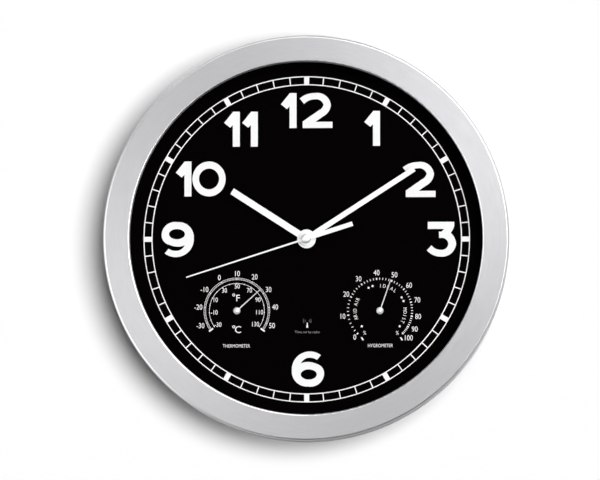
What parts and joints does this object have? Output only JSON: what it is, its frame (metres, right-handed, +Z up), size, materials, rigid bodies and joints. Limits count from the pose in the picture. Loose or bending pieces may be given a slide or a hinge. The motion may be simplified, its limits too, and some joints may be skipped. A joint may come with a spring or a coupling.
{
  "type": "thermometer hygrometer wall clock",
  "caption": "Round radio-controlled wall clock with a satin ring, black dial, white hands and numerals, a thermometer and a hygrometer, hung by a rear keyhole.",
  "frame": {"origin": "on the axis of the hands, at the wall plane that the rear rim rests on", "axes": "+X to the right as the dial is read, +Y back toward the wall, +Z up the dial; the dial faces -Y"},
  "size_m": [0.305, 0.0455, 0.305],
  "materials": {
    "satin_aluminium": "satin, finely brushed",
    "clear_glass": "clear, polished",
    "dial_black": "matt black paint on aluminium sheet",
    "case_black": "fine moulded grain",
    "dial_white": "matt screen-printed ink",
    "hand_white": "satin white paint",
    "bright_metal": "polished",
    "zinc_steel": "bright zinc",
    "brass_metal": "turned",
    "bimetal": "rolled strip",
    "wheel_plastic": "natural moulded plastic",
    "copper_wire": "enamelled windings",
    "board_green": "solder resist",
    "chip_black": "moulded",
    "ferrite": "ground ferrite",
    "magnet_grey": "plated",
    "battery_jacket": "printed shrink sleeve",
    "washer_rubber": "plain",
    "button_grey": "moulded"
  },
  "bodies": {
    "case": {"bezel_ring": "satin_aluminium", "front_glass": "clear_glass", "dial_spacer_ring": "case_black", "dial_plate": "dial_black", "hour_numerals": "dial_white", "minute_track": "dial_white", "thermometer_scale": "dial_white", "hygrometer_scale": "dial_white", "back_case": "case_black", "case_screws": "zinc_steel", "hanger_plate": "zinc_steel", "hanger_screws": "zinc_steel", "movement_base": "case_black", "movement_cover": "case_black", "movement_screws": "zinc_steel", "train_plate": "wheel_plastic", "threaded_bushing": "brass_metal", "bushing_nut": "brass_metal", "dial_washer": "brass_metal", "rubber_washer": "washer_rubber", "seconds_stator": "zinc_steel", "seconds_coil": "copper_wire", "minutes_stator": "zinc_steel", "minutes_coil": "copper_wire", "circuit_board": "board_green", "controller_chip": "chip_black", "quartz_crystal": "zinc_steel", "tact_switches": "chip_black", "antenna_rod": "ferrite", "antenna_coil": "copper_wire", "positive_contact": "zinc_steel", "negative_contact": "zinc_steel", "thermometer_bracket": "zinc_steel", "thermometer_coil": "bimetal", "hygrometer_bracket": "zinc_steel", "hygrometer_coil": "bimetal", "bracket_screws": "zinc_steel"},
    "hour": {"hour_hand": "hand_white", "hour_wheel": "wheel_plastic"},
    "minute": {"minute_hand": "hand_white", "minute_wheel": "wheel_plastic"},
    "second": {"second_hand": "hand_white", "second_hand_cap": "bright_metal", "seconds_wheel": "wheel_plastic"},
    "transfer": {"transfer_wheel": "wheel_plastic"},
    "third": {"third_wheel": "wheel_plastic"},
    "minutes_intermediate": {"minutes_intermediate_wheel": "wheel_plastic"},
    "minutes_motor": {"minutes_rotor": "magnet_grey"},
    "seconds_intermediate": {"seconds_intermediate_wheel": "wheel_plastic"},
    "seconds_motor": {"seconds_rotor": "magnet_grey"},
    "cell": {"battery": "battery_jacket"},
    "set_key": {"set_button": "button_grey"},
    "reset_key": {"reset_button": "button_grey"},
    "wave_key": {"wave_button": "button_grey"},
    "thermometer": {"thermometer_arbor": "brass_metal", "thermometer_pointer": "hand_white"},
    "hygrometer": {"hygrometer_arbor": "brass_metal", "hygrometer_pointer": "hand_white"}
  },
  "joints": [
    {"name": "minute_spin", "type": "hinge", "parent": "case", "child": "minute", "pos_m": [0, -0.025, 0], "axis": [0, 1, 0], "continuous": true},
    {"name": "hour_spin", "type": "hinge", "parent": "case", "child": "hour", "pos_m": [0, -0.025, 0], "axis": [0, 1, 0], "continuous": true},
    {"name": "transfer_spin", "type": "hinge", "parent": "case", "child": "transfer", "pos_m": [0, -0.016, 0.009], "axis": [0, 1, 0], "continuous": true},
    {"name": "third_spin", "type": "hinge", "parent": "case", "child": "third", "pos_m": [0.00869, -0.013, -0.00233], "axis": [0, 1, 0], "continuous": true},
    {"name": "minutes_intermediate_spin", "type": "hinge", "parent": "case", "child": "minutes_intermediate", "pos_m": [0.01715, -0.011, 0.00075], "axis": [0, 1, 0], "continuous": true},
    {"name": "minutes_rotor_spin", "type": "hinge", "parent": "case", "child": "minutes_motor", "pos_m": [0.01565, -0.009, 0.00926], "axis": [0, 1, 0], "continuous": true},
    {"name": "second_spin", "type": "hinge", "parent": "case", "child": "second", "pos_m": [0, -0.025, 0], "axis": [0, 1, 0], "continuous": true},
    {"name": "seconds_intermediate_spin", "type": "hinge", "parent": "case", "child": "seconds_intermediate", "pos_m": [-0.00886, -0.011, -0.00156], "axis": [0, 1, 0], "continuous": true},
    {"name": "seconds_rotor_spin", "type": "hinge", "parent": "case", "child": "seconds_motor", "pos_m": [-0.01174, -0.009, 0.00633], "axis": [0, 1, 0], "continuous": true},
    {"name": "thermometer_turn", "type": "hinge", "parent": "case", "child": "thermometer", "pos_m": [-0.05259, -0.02, -0.054], "axis": [0, 1, 0], "range_deg": [-174.7, 79.3], "stiffness_Nm_per_rad": 0.001},
    {"name": "hygrometer_turn", "type": "hinge", "parent": "case", "child": "hygrometer", "pos_m": [0.0552, -0.02, -0.054], "axis": [0, 1, 0], "range_deg": [-154.6, 115.9], "stiffness_Nm_per_rad": 0.001},
    {"name": "set_press", "type": "slide", "parent": "case", "child": "set_key", "axis": [0, -1, 0], "range_m": [0, 0.00045], "stiffness_N_per_m": 200},
    {"name": "reset_press", "type": "slide", "parent": "case", "child": "reset_key", "axis": [0, -1, 0], "range_m": [0, 0.00045], "stiffness_N_per_m": 200},
    {"name": "wave_press", "type": "slide", "parent": "case", "child": "wave_key", "axis": [0, -1, 0], "range_m": [0, 0.00045], "stiffness_N_per_m": 200},
    {"name": "battery_remove", "type": "slide", "parent": "case", "child": "cell", "axis": [0, 1, 0], "range_m": [0, 0.03]}
  ],
  "couplings": [
    {"joint": "hour_spin", "follows": "minute_spin", "ratio": 0.083333},
    {"joint": "transfer_spin", "follows": "minute_spin", "ratio": -0.33333},
    {"joint": "third_spin", "follows": "minute_spin", "ratio": -3},
    {"joint": "minutes_intermediate_spin", "follows": "minute_spin", "ratio": 12},
    {"joint": "minutes_rotor_spin", "follows": "minute_spin", "ratio": -60},
    {"joint": "seconds_intermediate_spin", "follows": "second_spin", "ratio": -5},
    {"joint": "seconds_rotor_spin", "follows": "second_spin", "ratio": 30}
  ]
}
